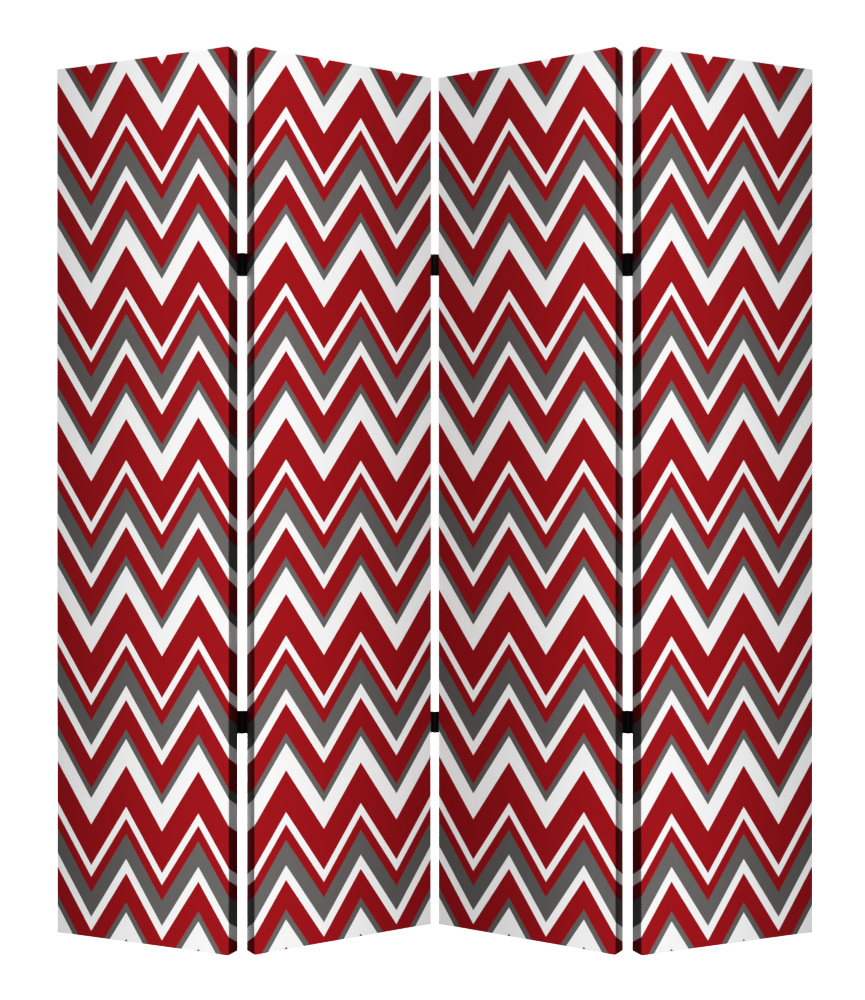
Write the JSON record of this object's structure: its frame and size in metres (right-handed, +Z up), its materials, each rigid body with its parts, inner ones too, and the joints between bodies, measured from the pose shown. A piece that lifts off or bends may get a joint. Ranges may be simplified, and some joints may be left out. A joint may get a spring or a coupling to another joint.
{
  "type": "canvas folding screen",
  "caption": "Free-standing folding screen of tall stretched-canvas panels on wooden frames, printed with a chevron stripe and joined by black pin hinges.",
  "frame": {"origin": "on the floor, at the middle of the footprint's bounding box with the screen open as in the picture", "axes": "+Z up, +X to the picture's right along the line of the screen, +Y away from the viewer, so the printed front faces -Y"},
  "size_m": [1.601, 0.2573, 1.8288],
  "materials": {
    "printed_canvas": "matt cotton canvas, printed with red, grey and white chevrons",
    "pine": "planed, unfinished softwood",
    "hinge_black": "satin black powder coat",
    "pin_steel": "blackened steel",
    "screw_black": "black oxide",
    "staple_steel": "galvanised wire"
  },
  "bodies": {
    "panel_1": {"panel_1_left_stile": "pine", "panel_1_right_stile": "pine", "panel_1_top_rail": "pine", "panel_1_bottom_rail": "pine", "panel_1_cross_rails": "pine", "panel_1_staples": "staple_steel", "panel_1_front_canvas": "printed_canvas", "panel_1_back_canvas": "printed_canvas", "panel_1_hinge_screws": "screw_black", "hinge_12_lower_left_leaf": "hinge_black", "hinge_12_upper_left_leaf": "hinge_black", "hinge_12_pins": "pin_steel"},
    "panel_2": {"panel_2_left_stile": "pine", "panel_2_right_stile": "pine", "panel_2_top_rail": "pine", "panel_2_bottom_rail": "pine", "panel_2_cross_rails": "pine", "panel_2_staples": "staple_steel", "panel_2_front_canvas": "printed_canvas", "panel_2_back_canvas": "printed_canvas", "panel_2_hinge_screws": "screw_black", "hinge_12_lower_right_leaf": "hinge_black", "hinge_12_upper_right_leaf": "hinge_black", "hinge_23_lower_left_leaf": "hinge_black", "hinge_23_upper_left_leaf": "hinge_black", "hinge_23_pins": "pin_steel"},
    "panel_3": {"panel_3_left_stile": "pine", "panel_3_right_stile": "pine", "panel_3_top_rail": "pine", "panel_3_bottom_rail": "pine", "panel_3_cross_rails": "pine", "panel_3_staples": "staple_steel", "panel_3_front_canvas": "printed_canvas", "panel_3_back_canvas": "printed_canvas", "panel_3_hinge_screws": "screw_black", "hinge_23_lower_right_leaf": "hinge_black", "hinge_23_upper_right_leaf": "hinge_black", "hinge_34_lower_left_leaf": "hinge_black", "hinge_34_upper_left_leaf": "hinge_black", "hinge_34_pins": "pin_steel"},
    "panel_4": {"panel_4_left_stile": "pine", "panel_4_right_stile": "pine", "panel_4_top_rail": "pine", "panel_4_bottom_rail": "pine", "panel_4_cross_rails": "pine", "panel_4_staples": "staple_steel", "panel_4_front_canvas": "printed_canvas", "panel_4_back_canvas": "printed_canvas", "panel_4_hinge_screws": "screw_black", "hinge_34_lower_right_leaf": "hinge_black", "hinge_34_upper_right_leaf": "hinge_black"}
  },
  "joints": [
    {"name": "seam_12", "type": "hinge", "parent": "panel_2", "child": "panel_1", "pos_m": [-0.39135, -0.09726, 0.93], "axis": [0, 0, -1], "range_deg": [-55, 125]},
    {"name": "seam_23", "type": "hinge", "parent": "panel_2", "child": "panel_3", "pos_m": [0, 0.1013, 0.93], "axis": [0, 0, -1], "range_deg": [-64, 116]},
    {"name": "seam_34", "type": "hinge", "parent": "panel_3", "child": "panel_4", "pos_m": [0.39135, -0.09726, 0.93], "axis": [0, 0, 1], "range_deg": [-55, 125]}
  ]
}
